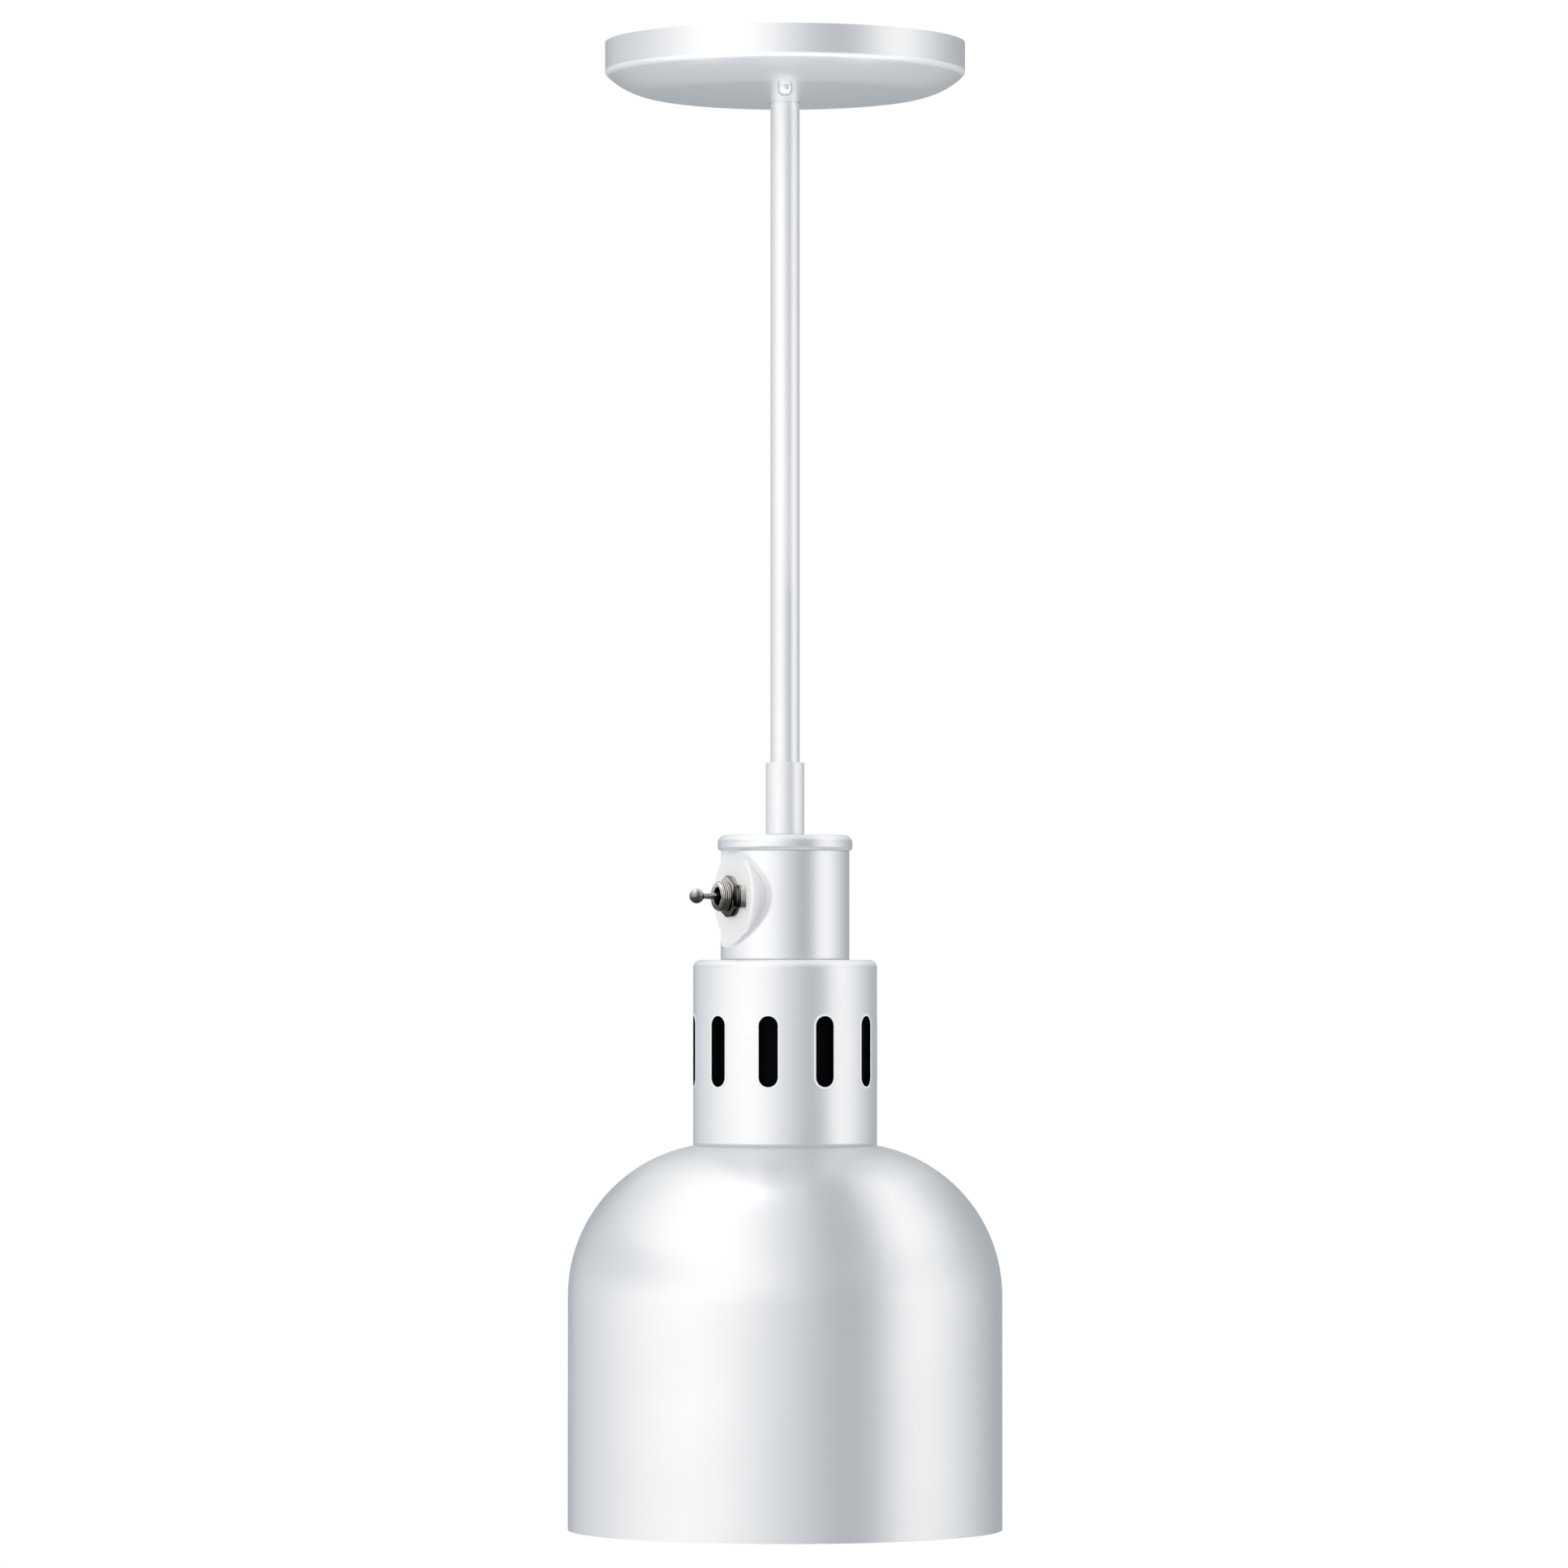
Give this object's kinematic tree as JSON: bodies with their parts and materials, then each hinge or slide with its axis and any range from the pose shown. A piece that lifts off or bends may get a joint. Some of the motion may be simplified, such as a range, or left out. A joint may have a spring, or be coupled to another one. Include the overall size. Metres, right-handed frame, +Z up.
{
  "type": "pendant heat lamp",
  "caption": "Ceiling pendant food heat lamp: round canopy, rigid stem, toggle-switch housing, vented sleeve and a bell shade round a screw-in reflector lamp.",
  "frame": {"origin": "centre of the mounting plate's top face, in the ceiling plane", "axes": "+Z up along the stem towards the ceiling; -Y is the side the picture shows, with +X to its right"},
  "size_m": [0.1714, 0.1714, 0.5946],
  "materials": {
    "silver_shell": "smooth bright silver satin enamel on spun aluminium",
    "silver_stem": "smooth bright silver satin enamel on steel tube",
    "zinc_steel": "bright zinc plate",
    "green_screw": "green dyed zinc plate",
    "switch_nickel": "nickel plate, slightly warm",
    "switch_moulding": "dark brown phenolic moulding",
    "contact_brass": "plain brass",
    "heat_shield_black": "heat-resistant matt black paint",
    "porcelain": "glazed off-white porcelain",
    "lamp_glass": "hard clear glass, frosted towards the face",
    "lamp_silvering": "evaporated aluminium mirror",
    "lamp_cap": "nickelled brass lamp cap",
    "lamp_insulator": "black vitrite",
    "lamp_wire": "drawn tungsten and molybdenum wire",
    "line_wire": "black high-temperature insulation",
    "switched_wire": "red high-temperature insulation",
    "neutral_wire": "white high-temperature insulation",
    "ground_wire": "green high-temperature insulation"
  },
  "bodies": {
    "fixture": {"mounting_plate": "zinc_steel", "plate_ground_screw": "green_screw", "canopy_studs": "zinc_steel", "stem_top_nut": "zinc_steel", "stem_top_washer": "zinc_steel", "stem_jam_nut": "zinc_steel", "stem_tube": "silver_stem", "stem_coupling": "silver_stem", "housing_nipple": "zinc_steel", "housing_cap": "silver_shell", "cap_lock_washer": "zinc_steel", "cap_lock_nut": "zinc_steel", "switch_housing": "silver_shell", "housing_base_ring": "zinc_steel", "housing_ground_screw": "green_screw", "switch_body": "switch_moulding", "switch_frame": "switch_nickel", "switch_bushing": "switch_nickel", "switch_lock_ring": "switch_nickel", "switch_tab_washer": "switch_nickel", "switch_hex_nut": "switch_nickel", "toggle_pivot_pin": "switch_nickel", "switch_common_terminal": "contact_brass", "switch_load_terminal": "contact_brass", "vent_sleeve": "silver_shell", "sleeve_base_ring": "zinc_steel", "heat_shield": "heat_shield_black", "socket_bracket": "zinc_steel", "bracket_screws": "zinc_steel", "socket_body": "porcelain", "socket_screw_shell": "contact_brass", "socket_centre_contact": "contact_brass", "socket_shell_strap": "contact_brass", "socket_screws": "zinc_steel", "socket_terminal_screws": "zinc_steel", "shade": "silver_shell", "shade_screws": "zinc_steel", "line_lead": "line_wire", "switched_lead": "switched_wire", "neutral_lead": "neutral_wire", "ground_lead": "ground_wire"},
    "canopy_cover": {"canopy": "silver_shell", "canopy_cap_nuts": "silver_shell"},
    "toggle": {"toggle_lever": "switch_nickel"},
    "rocker": {"contact_rocker": "contact_brass"},
    "lamp": {"lamp_envelope": "lamp_glass", "lamp_reflector_coating": "lamp_silvering", "lamp_base_shell": "lamp_cap", "lamp_base_insulator": "lamp_insulator", "lamp_base_contact": "lamp_cap", "lamp_mount": "lamp_glass", "lamp_support_wires": "lamp_wire", "lamp_filament": "lamp_wire"}
  },
  "joints": [
    {"name": "toggle_throw", "type": "hinge", "parent": "fixture", "child": "toggle", "pos_m": [-0.02257, -0.01052, -0.3378], "axis": [0, 0, -1], "range_deg": [0, 22]},
    {"name": "rocker_tip", "type": "hinge", "parent": "fixture", "child": "rocker", "pos_m": [-0.01169, -0.00545, -0.3378], "axis": [0, 0, -1], "range_deg": [-15.4, 0]},
    {"name": "canopy_slide", "type": "slide", "parent": "fixture", "child": "canopy_cover", "axis": [0, 0, 1], "range_m": [-0.25, 0]},
    {"name": "lamp_drop", "type": "slide", "parent": "fixture", "child": "lamp", "axis": [0, 0, 1], "range_m": [-0.2, 0]}
  ],
  "couplings": [
    {"joint": "rocker_tip", "follows": "toggle_throw", "ratio": -0.7}
  ]
}
